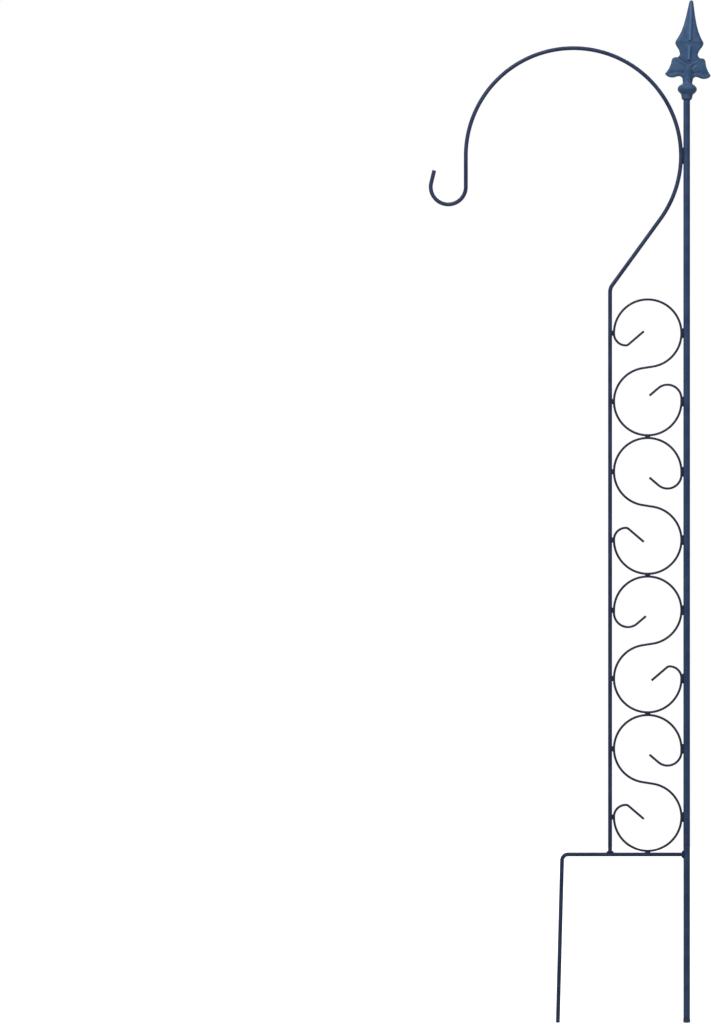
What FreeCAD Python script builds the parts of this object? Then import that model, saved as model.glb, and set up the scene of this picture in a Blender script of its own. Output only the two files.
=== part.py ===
"""Shepherds hook for the garden: a welded trellis stake with a hanging hook and a cast spear finial.

Millimetres, +Z up. The frame lies in the XZ plane at Y = 0. The origin is on the post's axis at the
ground line, which is the underside of the crossbar. Seen from the front (-Y), the hook reaches to -X.
"""

import FreeCAD, Part
import math
import os

Vector = FreeCAD.Vector
ALONG = Vector(1, 0, 0)
ACROSS = Vector(0, 1, 0)
UP = Vector(0, 0, 1)

# Bulge of a quarter circle over its chord, as a share of its radius.
QUARTER_BULGE = 1 - math.sqrt(0.5)

# Stock: steel tube for the post, bar for the hook and the leg, wire for the scrolls.
# The curled pieces are drawn with flats, on a polygon as large in area as the round stock.
POST_OD = 10.0
POST_WALL = 1.0
ROD_DIAMETER = 6.0
ROD_FLAT_COUNT = 8
WIRE_DIAMETER = 3.5
WIRE_FLAT_COUNT = 4

# Root gaps that the welds bridge.
SIDE_GAP = 1.1
BUTT_GAP = 0.6

# Scrolls, each an S of two open rings joined by a slanted crossing.
SCROLL_COUNT = 4
RING_RADIUS = 50.4
CROSSING_TILT = 9.0
TAIL_ANGLE = 40.5
ROUND_CURL_LEAD = 4.2
ROUND_CURL_RADIUS = 20.9
ROUND_TAIL = 17.5
TIGHT_CURL_LEAD = 0.6
TIGHT_CURL_RADIUS = 17.6
TIGHT_CORNER_RADIUS = 6.5
TIGHT_TAIL = 30.0

# Hook rod: rail, diagonal, arch and the J that things hang from.
RAIL_HEAD = 15.0
RAIL_BEND_RADIUS = 18.0
DIAGONAL_ANGLE = 36.0
ARCH_RADIUS = 160.7
SHANK_LENGTH = 46.5
BOWL_RADIUS = 26.2
TIP_LEAN = 13.6
TIP_LENGTH = 19.0

# Ground end: post stake, crossbar and side leg.
STAKE_DEPTH = 248.0
LEG_OUTREACH = 71.5
LEG_BEND_RADIUS = 9.0
LEG_SPLAY = 1.5
LEG_END_CHAMFER = 0.8

# Push-in plug in the post's lower end.
PLUG_FIT = 0.1
PLUG_SHANK = 14.0
PLUG_LIP = 0.4
PLUG_RIM = 5.0

# Cast spear finial, heights from its lower edge upward.
POST_ABOVE_WELD = 83.0
SOCKET_FIT = 0.1
SOCKET_DEPTH = 16.0
SOCKET_WALL = 2.6
SOCKET_FLARE = 1.0
SOCKET_HEIGHT = 8.4
SOCKET_CHAMFER = 1.8
COLLAR_LIP = 5.5
COLLAR_RISE = 5.0
COLLAR_BAND = 5.8
COLLAR_FALL = 6.0
STEM_RADIUS = 7.2
STEM_HEIGHT = 6.3
BUD_HEIGHT = 23.0
FINIAL_LEAN = 2.7

# Side leaves of the finial, measured from the axis and from the top of the stem.
LEAF_TOP = 23.0
LEAF_SHOULDER_OUT = 17.5
LEAF_SHOULDER_UP = 31.8
LEAF_SIDE_OUT = 25.6
LEAF_SIDE_UP = 24.4
LEAF_SHOULDER_BULGE = 3.0
LEAF_TIP_OUT = 34.0
LEAF_TIP_UP = 7.1
LEAF_SIDE_HOLLOW = 1.3
LEAF_TIP_BLUNT = 4.0
LEAF_TIP_BULGE = 0.5
LEAF_LOBE_OUT = 17.5
LEAF_LOBE_UP = 3.7
LEAF_LOBE_BULGE = 1.6
LEAF_ARCH_DROP = 2.6
LEAF_ARCH_BULGE = 3.4
LEAF_MIDRIB_UP = 17.0
LEAF_CROWN = 6.6
LEAF_TIP_CROWN = 2.4
LEAF_CROWN_RADIUS = 52.0

# Spear blade: levels above the stem, half widths at the levels, then its bevels, side edges and flat middle.
BLADE_ROOT = 20.0
BLADE_FOOT = 30.0
BLADE_WAIST = 37.0
BLADE_NECK = 41.5
BLADE_FLANK = 47.0
BLADE_SHOULDER = 54.2
BLADE_HOLLOW = 66.0
BLADE_TAPER = 78.0
BLADE_MIDDLE = 92.0
BLADE_TIP = 116.4
BLADE_CAP = 117.8
FOOT_HALF_WIDTH = 17.2
WAIST_HALF_WIDTH = 13.3
NECK_HALF_WIDTH = 14.6
FLANK_HALF_WIDTH = 17.9
SHOULDER_HALF_WIDTH = 21.0
HOLLOW_HALF_WIDTH = 15.1
TAPER_HALF_WIDTH = 10.6
MIDDLE_HALF_WIDTH = 7.2
TIP_HALF_WIDTH = 2.8
CAP_HALF_WIDTH = 1.6
BLADE_EDGE = 2.4
BLADE_BEVEL = 8.5
BLADE_FLAT = 3.5
TIP_HALF_DEPTH = 1.8
CAP_HALF_DEPTH = 1.3
TIP_EDGE = 1.0
TIP_FLAT = 1.4

# Midrib in two runs, one on the blade and one on the neck below the shoulder: levels, half widths, rise.
RIB_FOOT = 28.6
RIB_HEAD = 50.0
RIB_START = 57.0
RIB_RAMP = 2.2
RIB_HALF_WIDTH = 3.2
RIB_CREST = 0.6
RIB_RISE = 1.9
RIB_TIP_HALF_WIDTH = 1.2
RIB_TIP_CREST = 0.5
RIB_TIP_RISE = 0.4
RIB_SINK = 0.6

# Weld beads: how far a bead laps over each rod, how deep it stands and how long it is.
BEAD_END_SHARE = 0.5
BEAD_LAP = 2.2
BEAD_COVER = 0.6
RAIL_BEAD_LENGTH = 8.0
POST_BEAD_LENGTH = 15.0
STACK_BEAD_LENGTH = 8.0
HOOK_BEAD_LENGTH = 25.0
FOOT_BEAD_LENGTH = 11.0
CROSSBAR_BEAD_LENGTH = 12.0

# Places that follow from the sizes above.
POST_RADIUS = POST_OD / 2
ROD_RADIUS = ROD_DIAMETER / 2
WIRE_RADIUS = WIRE_DIAMETER / 2
RING_OUTER = RING_RADIUS + WIRE_RADIUS
RING_SPACING = 2 * RING_RADIUS / math.cos(math.radians(CROSSING_TILT))
SCROLL_PITCH = RING_SPACING + 2 * RING_OUTER + BUTT_GAP
SCROLL_X = -(POST_RADIUS + SIDE_GAP + RING_OUTER)
RAIL_X = SCROLL_X - RING_OUTER - SIDE_GAP - ROD_RADIUS
CROSSBAR_Z = ROD_RADIUS
CROSSBAR_TOP = ROD_DIAMETER
RAIL_FOOT_Z = CROSSBAR_TOP + BUTT_GAP
STACK_TOP = CROSSBAR_TOP + SCROLL_COUNT * SCROLL_PITCH
RAIL_CORNER_Z = STACK_TOP + RAIL_HEAD
ARCH_X = -(POST_RADIUS + BUTT_GAP + ROD_RADIUS + ARCH_RADIUS)
ARCH_TANGENT_X = ARCH_X + ARCH_RADIUS * math.cos(math.radians(DIAGONAL_ANGLE))
DIAGONAL_RUN = (ARCH_TANGENT_X - RAIL_X) / math.sin(math.radians(DIAGONAL_ANGLE))
ARCH_TANGENT_Z = RAIL_CORNER_Z + DIAGONAL_RUN * math.cos(math.radians(DIAGONAL_ANGLE))
ARCH_Z = ARCH_TANGENT_Z + ARCH_RADIUS * math.sin(math.radians(DIAGONAL_ANGLE))
FINIAL_Z = ARCH_Z + POST_ABOVE_WELD
POST_TOP = FINIAL_Z + SOCKET_DEPTH
POST_BOTTOM = PLUG_RIM - STAKE_DEPTH
COLLAR_TOP = SOCKET_HEIGHT + COLLAR_RISE + COLLAR_BAND + COLLAR_FALL
STEM_TOP = COLLAR_TOP + STEM_HEIGHT
BLADE_STATIONS = [
    (BLADE_ROOT, FOOT_HALF_WIDTH),
    (BLADE_FOOT, FOOT_HALF_WIDTH),
    (BLADE_WAIST, WAIST_HALF_WIDTH),
    (BLADE_NECK, NECK_HALF_WIDTH),
    (BLADE_FLANK, FLANK_HALF_WIDTH),
    (BLADE_SHOULDER, SHOULDER_HALF_WIDTH),
    (BLADE_HOLLOW, HOLLOW_HALF_WIDTH),
    (BLADE_TAPER, TAPER_HALF_WIDTH),
    (BLADE_MIDDLE, MIDDLE_HALF_WIDTH),
]


class BendProgram:
    """A path in the XZ plane, written as a bending machine makes it: feeds and bends."""

    def __init__(self, x, z, heading):
        self.place = Vector(x, 0, z)
        self.heading = heading
        self.edges = []

    def direction(self):
        """Unit vector of the heading, in degrees from +X towards +Z."""
        angle = math.radians(self.heading)
        return Vector(math.cos(angle), 0, math.sin(angle))

    def feed(self, length):
        """Run straight on."""
        end = self.place + self.direction() * length
        self.edges.append(Part.LineSegment(self.place, end).toShape())
        self.place = end
        return self

    def bend(self, radius, turn):
        """Turn by an angle in degrees, positive to the left, on a tangent arc."""
        side = math.copysign(1.0, turn)
        start = self.place
        left = Vector(-self.direction().z, 0, self.direction().x)
        centre = start + left * (side * radius)
        self.heading += turn / 2
        middle = centre - Vector(-self.direction().z, 0, self.direction().x) * (side * radius)
        self.heading += turn / 2
        self.place = centre - Vector(-self.direction().z, 0, self.direction().x) * (side * radius)
        self.edges.append(Part.Arc(start, middle, self.place).toShape())
        return self


def path_start(path):
    """First point of a wire and the direction in which the wire leaves it."""
    edge = path.OrderedEdges[0]
    point = path.OrderedVertexes[0].Point
    return point, edge.tangentAt(edge.Curve.parameter(point))


def closed(corners):
    """Closed wire through corner points."""
    return Part.makePolygon(corners + corners[:1])


def polygon(centre, across, along, reach, sides):
    """Corners of a regular polygon that turns a side, not a corner, to the first direction."""
    step = 2 * math.pi / sides
    angles = [step * (number + 0.5) for number in range(sides)]
    return [centre + (across * math.cos(angle) + along * math.sin(angle)) * reach for angle in angles]


def faceted(rings):
    """Solid with plane faces that joins each ring of corners to the next one."""
    wires = [closed(rings[0]), closed(rings[-1])]
    for low, high in zip(rings, rings[1:]):
        for side in range(len(low)):
            wires.append(closed([low[side - 1], low[side], high[side]]))
            wires.append(closed([low[side - 1], high[side], high[side - 1]]))
    return Part.Solid(Part.Shell([Part.Face(wire) for wire in wires])).removeSplitter()


def flat_bar(edges, radius, flats):
    """Bar along a path, its section a polygon as large in area as the round stock of this radius."""
    path = Part.Wire(Part.__sortEdges__(edges))
    start, heading = path_start(path)
    reach = radius * math.sqrt(2 * math.pi / (flats * math.sin(2 * math.pi / flats)))
    section = closed(polygon(start, heading.cross(ACROSS), ACROSS, reach, flats))
    return path.makePipeShell([section], True, False)


def lathe(profile_edges):
    """Solid of revolution about the Z axis from a closed profile in the XZ plane."""
    return Part.Face(Part.Wire(profile_edges)).revolve(Vector(0, 0, 0), UP, 360)


def line(start, end):
    """Straight edge between two (x, z) points."""
    return Part.LineSegment(Vector(start[0], 0, start[1]), Vector(end[0], 0, end[1])).toShape()


def arc(start, end, bulge):
    """Arc between two (x, z) points that stands off its chord by bulge, positive to the left."""
    first = Vector(start[0], 0, start[1])
    last = Vector(end[0], 0, end[1])
    chord = last - first
    left = Vector(-chord.z, 0, chord.x).normalize()
    return Part.Arc(first, (first + last) * 0.5 + left * bulge, last).toShape()


def post_blank():
    """The post's outside as a full round bar, from the plug's rim up into the finial's socket."""
    return Part.makeCylinder(POST_RADIUS, POST_TOP - POST_BOTTOM, UP * POST_BOTTOM)


def post_tube():
    """Straight tube, open from end to end."""
    bore = Part.makeCylinder(POST_RADIUS - POST_WALL, POST_TOP - POST_BOTTOM, UP * POST_BOTTOM)
    return post_blank().cut(bore)


def post_end_plug():
    """Push-in plug: a shank in the tube's bore and a rim against its end."""
    shank = POST_RADIUS - POST_WALL - PLUG_FIT
    rim = POST_RADIUS + PLUG_LIP
    rim_low = (rim, -STAKE_DEPTH)
    rim_top = (rim, POST_BOTTOM)
    shank_low = (shank, POST_BOTTOM)
    shank_top = (shank, POST_BOTTOM + PLUG_SHANK)
    return lathe([
        line((0, -STAKE_DEPTH), rim_low),
        line(rim_low, rim_top),
        line(rim_top, shank_low),
        line(shank_low, shank_top),
        line(shank_top, (0, POST_BOTTOM + PLUG_SHANK)),
        line((0, POST_BOTTOM + PLUG_SHANK), (0, -STAKE_DEPTH)),
    ])


def hook_rod():
    """One bar: up the trellis, along the diagonal to the post, over the arch and down to the J."""
    corner = RAIL_BEND_RADIUS * math.tan(math.radians(DIAGONAL_ANGLE) / 2)
    program = BendProgram(RAIL_X, RAIL_FOOT_Z, 90)
    program.feed(RAIL_CORNER_Z - corner - RAIL_FOOT_Z)
    program.bend(RAIL_BEND_RADIUS, -DIAGONAL_ANGLE)
    program.feed(DIAGONAL_RUN - corner)
    program.bend(ARCH_RADIUS, DIAGONAL_ANGLE + 180)
    program.feed(SHANK_LENGTH)
    program.bend(BOWL_RADIUS, -(180 + TIP_LEAN))
    program.feed(TIP_LENGTH)
    return flat_bar(program.edges, ROD_RADIUS, ROD_FLAT_COUNT)


def ground_leg():
    """Round bar: the crossbar from the post, bent down into the side leg, which splays outward."""
    turn = 90 - LEG_SPLAY
    corner = LEG_BEND_RADIUS * math.tan(math.radians(turn) / 2)
    start = -(POST_RADIUS + BUTT_GAP)
    reach = start - (RAIL_X - LEG_OUTREACH)
    drop = (STAKE_DEPTH + CROSSBAR_Z) / math.cos(math.radians(LEG_SPLAY))
    program = BendProgram(start, CROSSBAR_Z, 180)
    program.feed(reach - corner)
    program.bend(LEG_BEND_RADIUS, turn)
    program.feed(drop - corner)
    path = Part.Wire(program.edges)
    section = Part.Wire(Part.makeCircle(ROD_RADIUS, *path_start(path)))
    leg = path.makePipeShell([section], True, False)
    end = program.place
    end_rim = [edge for edge in leg.Edges if edge.CenterOfMass.distanceToPoint(end) < LEG_END_CHAMFER]
    return leg.makeChamfer(LEG_END_CHAMFER, end_rim)


def scroll_half(middle_z, heading, turn_sign, curl):
    """Half of an S from its middle outward: crossing, ring, curl and tail."""
    lead, curl_radius, corner_radius, tail = curl
    program = BendProgram(SCROLL_X, middle_z, heading)
    program.feed(RING_RADIUS * math.tan(math.radians(CROSSING_TILT)))
    program.bend(RING_RADIUS, turn_sign * (270 - CROSSING_TILT))
    program.feed(lead)
    program.bend(curl_radius, turn_sign * 90)
    program.bend(corner_radius, turn_sign * TAIL_ANGLE)
    program.feed(tail)
    return program.edges


def scroll_middle(index):
    """Height of the crossing of scroll number index, counted from the top."""
    return STACK_TOP - RING_OUTER - RING_SPACING / 2 - (index - 1) * SCROLL_PITCH


def scroll(index):
    """S scroll. Odd ones are mirrored, and the top one stands with its tight curl up."""
    round_curl = (ROUND_CURL_LEAD, ROUND_CURL_RADIUS, ROUND_CURL_RADIUS, ROUND_TAIL)
    tight_curl = (TIGHT_CURL_LEAD, TIGHT_CURL_RADIUS, TIGHT_CORNER_RADIUS, TIGHT_TAIL)
    upper, lower = (tight_curl, round_curl) if index == 1 else (round_curl, tight_curl)
    if index % 2:
        heading, turn_sign = CROSSING_TILT, 1
    else:
        heading, turn_sign = 180 - CROSSING_TILT, -1
    middle = scroll_middle(index)
    edges = scroll_half(middle, heading, turn_sign, upper)
    edges += scroll_half(middle, heading + 180, turn_sign, lower)
    return flat_bar(edges, WIRE_RADIUS, WIRE_FLAT_COUNT)


def ring_heights(index):
    """Heights of the two ring centres of a scroll."""
    middle = scroll_middle(index)
    return (middle + RING_SPACING / 2, middle - RING_SPACING / 2)


def finial_turning():
    """Round parts of the casting: socket, collar, stem and the bud between the leaves."""
    low = POST_RADIUS + SOCKET_FIT + SOCKET_WALL
    high = low + SOCKET_FLARE
    band = high + COLLAR_LIP
    bevel_low = (low - SOCKET_CHAMFER, 0)
    bevel_top = (low, SOCKET_CHAMFER)
    socket_top = (high, SOCKET_HEIGHT)
    band_low = (band, SOCKET_HEIGHT + COLLAR_RISE)
    band_top = (band, COLLAR_TOP - COLLAR_FALL)
    stem_low = (STEM_RADIUS, COLLAR_TOP)
    bud_low = (STEM_RADIUS, STEM_TOP + BUD_HEIGHT - STEM_RADIUS)
    bud_top = (0, STEM_TOP + BUD_HEIGHT)
    return lathe([
        line((0, 0), bevel_low),
        line(bevel_low, bevel_top),
        line(bevel_top, socket_top),
        line(socket_top, band_low),
        line(band_low, band_top),
        line(band_top, stem_low),
        line(stem_low, bud_low),
        arc(bud_low, bud_top, -STEM_RADIUS * QUARTER_BULGE),
        line(bud_top, (0, 0)),
    ])


def crown_bar(head, end, side):
    """Large round bar whose skin is one crowned face of a leaf, thinning from the leaf's head to its tip."""
    head_axis = head + ACROSS * (side * (LEAF_CROWN_RADIUS - LEAF_CROWN))
    end_axis = end + ACROSS * (side * (LEAF_CROWN_RADIUS - LEAF_TIP_CROWN))
    run = end_axis - head_axis
    return Part.makeCylinder(LEAF_CROWN_RADIUS, 3 * run.Length, head_axis - run, run)


def finial_leaf(side):
    """Drooping side leaf: its outline cut from a bar crowned along the midrib and thinned to the tip."""
    shoulder = (LEAF_SHOULDER_OUT, STEM_TOP + LEAF_SHOULDER_UP)
    flank = (LEAF_SIDE_OUT, STEM_TOP + LEAF_SIDE_UP)
    tip = (LEAF_TIP_OUT, STEM_TOP + LEAF_TIP_UP)
    blunt = (LEAF_TIP_OUT - LEAF_TIP_BLUNT, STEM_TOP + LEAF_TIP_UP - LEAF_TIP_BLUNT)
    lobe = (LEAF_LOBE_OUT, STEM_TOP + LEAF_LOBE_UP)
    root = (STEM_RADIUS, STEM_TOP - LEAF_ARCH_DROP)
    outline = [
        line((0, STEM_TOP + LEAF_TOP), shoulder),
        arc(shoulder, flank, LEAF_SHOULDER_BULGE),
        arc(flank, tip, -LEAF_SIDE_HOLLOW),
        arc(tip, blunt, LEAF_TIP_BULGE),
        arc(blunt, lobe, LEAF_LOBE_BULGE),
        arc(lobe, root, -LEAF_ARCH_BULGE),
        line(root, (0, STEM_TOP - LEAF_ARCH_DROP)),
        line((0, STEM_TOP - LEAF_ARCH_DROP), (0, STEM_TOP + LEAF_TOP)),
    ]
    blank = Part.Face(Part.Wire(outline)).extrude(ACROSS * (2 * LEAF_CROWN))
    blank.translate(ACROSS * -LEAF_CROWN)
    head = Vector(0, 0, STEM_TOP + LEAF_MIDRIB_UP)
    end = Vector(tip[0], 0, tip[1])
    leaf = blank.common(crown_bar(head, end, 1)).common(crown_bar(head, end, -1))
    if side < 0:
        leaf = leaf.mirror(Vector(0, 0, 0), Vector(1, 0, 0))
    return leaf


def between(level, low_level, high_level, low, high):
    """Value at a level on the straight line between the values at two levels."""
    return low + (high - low) * (level - low_level) / (high_level - low_level)


def octagon(level, half_width, half_depth, edge, flat):
    """Corners of an eight-sided section of the blade: thin side edges and a narrow flat front and back."""
    quarter = [(half_width, -edge), (flat, -half_depth)]
    front = quarter + [(-x, y) for x, y in reversed(quarter)]
    corners = front + [(x, -y) for x, y in reversed(front)]
    return [Vector(x, y, STEM_TOP + level) for x, y in corners]


def blade_half_depth(level):
    """Half depth of the blade's flat middle. The bevels rise to it at one angle, so they are plane."""
    for (low, low_width), (high, high_width) in zip(BLADE_STATIONS, BLADE_STATIONS[1:]):
        if level <= high:
            half_width = between(level, low, high, low_width, high_width)
            return BLADE_EDGE + (half_width - BLADE_FLAT) * math.tan(math.radians(BLADE_BEVEL))


def finial_blade():
    """Spear head: a flared foot, a waist, a wide shoulder and a long taper to the tip."""
    sections = []
    for level, half_width in BLADE_STATIONS:
        sections.append(octagon(level, half_width, blade_half_depth(level), BLADE_EDGE, BLADE_FLAT))
    sections.append(octagon(BLADE_TIP, TIP_HALF_WIDTH, TIP_HALF_DEPTH, TIP_EDGE, TIP_FLAT))
    sections.append(octagon(BLADE_CAP, CAP_HALF_WIDTH, CAP_HALF_DEPTH, TIP_EDGE, TIP_FLAT))
    return faceted(sections)


def rib_section(level, half_depth, rise):
    """Section of the midrib on a blade of this half depth. It narrows from the shoulder to the tip."""
    height = max(level, BLADE_SHOULDER)
    half_width = between(height, BLADE_SHOULDER, BLADE_TIP, RIB_HALF_WIDTH, RIB_TIP_HALF_WIDTH)
    crest = between(height, BLADE_SHOULDER, BLADE_TIP, RIB_CREST, RIB_TIP_CREST)
    return octagon(level, half_width, half_depth + rise, half_depth - RIB_SINK, crest)


def finial_midrib():
    """The two runs of the midrib, with ramps where they end on the neck and at the shoulder."""
    buried = -RIB_SINK / 2
    neck_rises = [
        (RIB_FOOT, buried),
        (RIB_FOOT + RIB_RAMP, RIB_RISE),
        (BLADE_WAIST, RIB_RISE),
        (RIB_HEAD - RIB_RAMP, RIB_RISE),
        (RIB_HEAD, buried),
    ]
    blade_rises = [
        (RIB_START, buried),
        (RIB_START + RIB_RAMP, RIB_RISE),
        (BLADE_HOLLOW, RIB_RISE),
        (BLADE_TAPER, RIB_RISE),
        (BLADE_MIDDLE, RIB_RISE),
    ]
    on_neck = [rib_section(level, blade_half_depth(level), rise) for level, rise in neck_rises]
    on_blade = [rib_section(level, blade_half_depth(level), rise) for level, rise in blade_rises]
    on_blade.append(rib_section(BLADE_TIP, TIP_HALF_DEPTH, RIB_TIP_RISE))
    return [faceted(on_neck), faceted(on_blade)]


def spear_finial():
    """The casting, leaning a little on the post, with a blind socket bored true to the tube."""
    leaves = [finial_leaf(side) for side in (-1, 1)]
    casting = finial_turning().fuse(leaves + [finial_blade()] + finial_midrib()).removeSplitter()
    casting.rotate(Vector(0, 0, 0), ACROSS, FINIAL_LEAN)
    casting.translate(UP * FINIAL_Z)
    mouth = UP * (FINIAL_Z - SOCKET_WALL)
    bore = Part.makeCylinder(POST_RADIUS + SOCKET_FIT, SOCKET_DEPTH + SOCKET_WALL, mouth)
    return casting.cut(bore)


def bead(centre, along, length, half_gap, half_depth, rods):
    """Weld bead: a tapered lump of filler along a joint, trimmed by the rods that it joins."""
    sideways = along.cross(ACROSS)
    rings = []
    for share, place in ((BEAD_END_SHARE, -0.5), (1, 0), (BEAD_END_SHARE, 0.5)):
        middle = centre + along * (place * length)
        lap = sideways * (half_gap * share)
        ridge = ACROSS * (half_depth * share)
        rings.append([middle + lap, middle + ridge, middle - lap, middle - ridge])
    return faceted(rings).cut(rods)


def side_welds(index, x, length, rods):
    """The two beads that hold a scroll's rings to the rail or to the post."""
    half_gap = SIDE_GAP / 2 + BEAD_LAP
    centres = [Vector(x, 0, z) for z in ring_heights(index)]
    beads = [bead(centre, UP, length, half_gap, WIRE_RADIUS + BEAD_COVER, rods) for centre in centres]
    return Part.makeCompound(beads)


def scroll_welds(scrolls, post, hook, leg):
    """Beads round each scroll: to the rail, to the post, and to what it stands on."""
    welds = {}
    rail_x = RAIL_X + ROD_RADIUS + SIDE_GAP / 2
    post_x = -(POST_RADIUS + SIDE_GAP / 2)
    half_gap = BUTT_GAP / 2 + BEAD_LAP
    half_depth = WIRE_RADIUS + BEAD_COVER
    for index, wire in scrolls.items():
        welds[f"scroll_{index}_rail_welds"] = side_welds(index, rail_x, RAIL_BEAD_LENGTH, [wire, hook])
        welds[f"scroll_{index}_post_welds"] = side_welds(index, post_x, POST_BEAD_LENGTH, [wire, post])
        below = scrolls.get(index + 1, leg)
        name = f"scroll_{index}_to_{index + 1}_weld" if index < SCROLL_COUNT else "scroll_foot_weld"
        centre = Vector(SCROLL_X, 0, STACK_TOP - index * SCROLL_PITCH + BUTT_GAP / 2)
        welds[name] = bead(centre, ALONG, STACK_BEAD_LENGTH, half_gap, half_depth, [wire, below])
    return welds


def frame_welds(post, hook, leg):
    """Beads where the hook meets the post, the rail meets the crossbar and the crossbar meets the post."""
    half_gap = BUTT_GAP / 2 + BEAD_LAP
    half_depth = ROD_RADIUS + BEAD_COVER
    beside_post = -(POST_RADIUS + BUTT_GAP / 2)
    hook_spot = Vector(beside_post, 0, ARCH_Z)
    rail_spot = Vector(RAIL_X, 0, CROSSBAR_TOP + BUTT_GAP / 2)
    leg_spot = Vector(beside_post, 0, CROSSBAR_Z)
    return {
        "hook_post_weld": bead(hook_spot, UP, HOOK_BEAD_LENGTH, half_gap, half_depth, [hook, post]),
        "rail_foot_weld": bead(rail_spot, ALONG, FOOT_BEAD_LENGTH, half_gap, half_depth, [hook, leg]),
        "crossbar_post_weld": bead(leg_spot, UP, CROSSBAR_BEAD_LENGTH, half_gap, half_depth, [leg, post]),
    }


def build():
    """All pieces by node name."""
    post = post_blank()
    hook = hook_rod()
    leg = ground_leg()
    scrolls = {index: scroll(index) for index in range(1, SCROLL_COUNT + 1)}
    nodes = {
        "post_tube": post_tube(),
        "post_end_plug": post_end_plug(),
        "spear_finial": spear_finial(),
        "hook_rod": hook,
        "ground_leg": leg,
    }
    nodes.update({f"scroll_{index}": wire for index, wire in scrolls.items()})
    nodes.update(scroll_welds(scrolls, post, hook, leg))
    nodes.update(frame_welds(post, hook, leg))
    return nodes


os.makedirs("parts", exist_ok=True)
for node, shape in build().items():
    shape.exportStep(f"parts/{node}.step")
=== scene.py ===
"""Shepherds hook for the garden: bent steel, welds and a cast finial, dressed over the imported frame.

Sizes are millimetres. Meshes are metres in the frame's axes: +Z up, front at -Y, origin on the post's axis
at the ground line. Nothing on the object moves, so every piece rides on the one body.
"""

import logging
import math
from dataclasses import dataclass
from enum import Enum
from typing import Any, Optional, Sequence

import bmesh
import bpy
import numpy as np
from bpy.types import ID, Material, Mesh, Node, NodeSocket, NodeTree, Object
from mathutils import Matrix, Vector


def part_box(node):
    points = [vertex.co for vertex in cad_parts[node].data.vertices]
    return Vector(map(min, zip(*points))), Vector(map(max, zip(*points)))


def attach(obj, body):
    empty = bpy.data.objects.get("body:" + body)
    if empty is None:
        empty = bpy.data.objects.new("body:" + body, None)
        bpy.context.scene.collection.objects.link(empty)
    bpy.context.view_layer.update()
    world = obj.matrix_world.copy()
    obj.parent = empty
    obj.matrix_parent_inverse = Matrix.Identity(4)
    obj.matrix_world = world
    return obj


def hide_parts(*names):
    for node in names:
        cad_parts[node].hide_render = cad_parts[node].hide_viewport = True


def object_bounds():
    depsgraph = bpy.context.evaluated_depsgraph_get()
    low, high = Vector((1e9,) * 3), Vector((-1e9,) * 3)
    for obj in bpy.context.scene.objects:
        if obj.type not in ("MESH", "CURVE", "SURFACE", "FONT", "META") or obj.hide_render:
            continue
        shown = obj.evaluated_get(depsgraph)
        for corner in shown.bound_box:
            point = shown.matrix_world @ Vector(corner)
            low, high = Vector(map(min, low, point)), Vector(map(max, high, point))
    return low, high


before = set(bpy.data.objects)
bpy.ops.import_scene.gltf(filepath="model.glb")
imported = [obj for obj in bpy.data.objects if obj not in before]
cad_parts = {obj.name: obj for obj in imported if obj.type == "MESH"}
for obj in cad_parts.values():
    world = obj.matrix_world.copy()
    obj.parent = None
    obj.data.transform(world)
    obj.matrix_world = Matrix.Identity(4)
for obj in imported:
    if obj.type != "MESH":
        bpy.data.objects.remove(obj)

CAD_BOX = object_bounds()
BODY = "root"
MM = 0.001
MERGE_WITHIN = 0.001 * MM
PHOTO_WIDTH = 711
PHOTO_HEIGHT = 1024
WHITE = (1.0, 1.0, 1.0, 1.0)
# Colour sockets of a Mix node, by number because it has sockets of the same names for other data.
MIX_FIRST, MIX_SECOND, MIX_RESULT = 6, 7, 2
# Headings of a bend path, in degrees.
UPWARD, LEFTWARD = 90.0, 180.0

Pair = tuple[float, float]
log = logging.getLogger("shepherds_hook")


def linear(colour: str) -> tuple[float, float, float, float]:
    """Turn an sRGB hex colour into linear RGBA.

    Args:
        colour: Colour such as "#33476b".

    Returns:
        Red, green, blue and an alpha of 1.
    """
    channels = [int(colour[place:place + 2], 16) / 255 for place in (1, 3, 5)]
    red, green, blue = [c / 12.92 if c <= 0.04045 else ((c + 0.055) / 1.055) ** 2.4 for c in channels]
    return (red, green, blue, 1.0)


def fill(node: Node, inputs: dict) -> None:
    """Set or link the inputs of a node.

    Args:
        node: The node.
        inputs: For each input, by name or number, a value, an output, or a node whose first output is meant.
    """
    for name, value in inputs.items():
        source = value.outputs[0] if isinstance(value, Node) else value
        if isinstance(source, NodeSocket):
            node.id_data.links.new(source, node.inputs[name])
        else:
            node.inputs[name].default_value = source


def add_node(tree: NodeTree, kind: str, inputs: Optional[dict] = None, **settings: Any) -> Node:
    """Add one node with its settings and fill its inputs.

    Args:
        tree: Tree that gets the node.
        kind: Blender's name for the kind of node.
        inputs: What goes into each input, as for fill.
        **settings: Properties of the node itself.

    Returns:
        The new node.
    """
    node = tree.nodes.new(kind)
    for name, value in settings.items():
        setattr(node, name, value)
    fill(node, inputs or {})
    return node


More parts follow.
